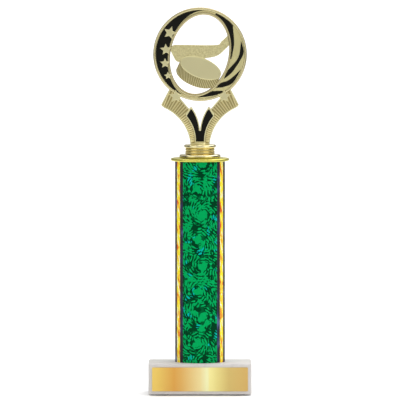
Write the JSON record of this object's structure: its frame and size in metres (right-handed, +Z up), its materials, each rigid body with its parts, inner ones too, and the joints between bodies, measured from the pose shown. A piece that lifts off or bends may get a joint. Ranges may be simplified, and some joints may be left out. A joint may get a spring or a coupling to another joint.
{
  "type": "column trophy",
  "caption": "Award trophy: gold round frame with a stick blade and puck on a V yoke and turned pedestal, above a film-wrapped round column on a marble base with a blank plate.",
  "frame": {"origin": "centre of the footprint on the surface that the foam feet stand on", "axes": "+Z up along the column and the tie rod; front with the engraving plate faces -Y; +X to the viewer's right"},
  "size_m": [0.0916, 0.0577, 0.3436],
  "materials": {
    "marble": "polished white marble with faint grey veins",
    "foam": "matte closed-cell foam",
    "plate_gold": "bright gold anodised sheet, satin",
    "tape": "thin double-sided adhesive tape",
    "paperboard": "spiral-wound grey-brown board",
    "column_film": "glossy printed film, green swirls with gold and dark stripes",
    "lid_gold": "metallised lemon-gold moulding",
    "zinc_steel": "zinc-plated steel",
    "figure_gold": "metallised pale-gold moulding, satin with polished rims",
    "polished_gold": "metallised gold moulding, polished",
    "black_enamel": "black enamel fill, semi-gloss"
  },
  "bodies": {
    "root": {"marble_base": "marble", "foam_feet": "foam", "name_plate": "plate_gold", "plate_tape": "tape", "column_tube": "paperboard", "column_wrap": "column_film", "column_lid": "lid_gold", "tie_rod": "zinc_steel", "bottom_washer": "zinc_steel", "bottom_nut": "zinc_steel", "figure_nut": "zinc_steel", "pedestal": "polished_gold", "yoke": "figure_gold", "yoke_enamel": "black_enamel", "joint_stars": "figure_gold", "round_frame": "figure_gold", "frame_stars": "figure_gold", "crescent_enamel": "black_enamel", "swoosh_enamel": "black_enamel", "stick_blade": "figure_gold", "puck": "figure_gold"}
  },
  "joints": []
}
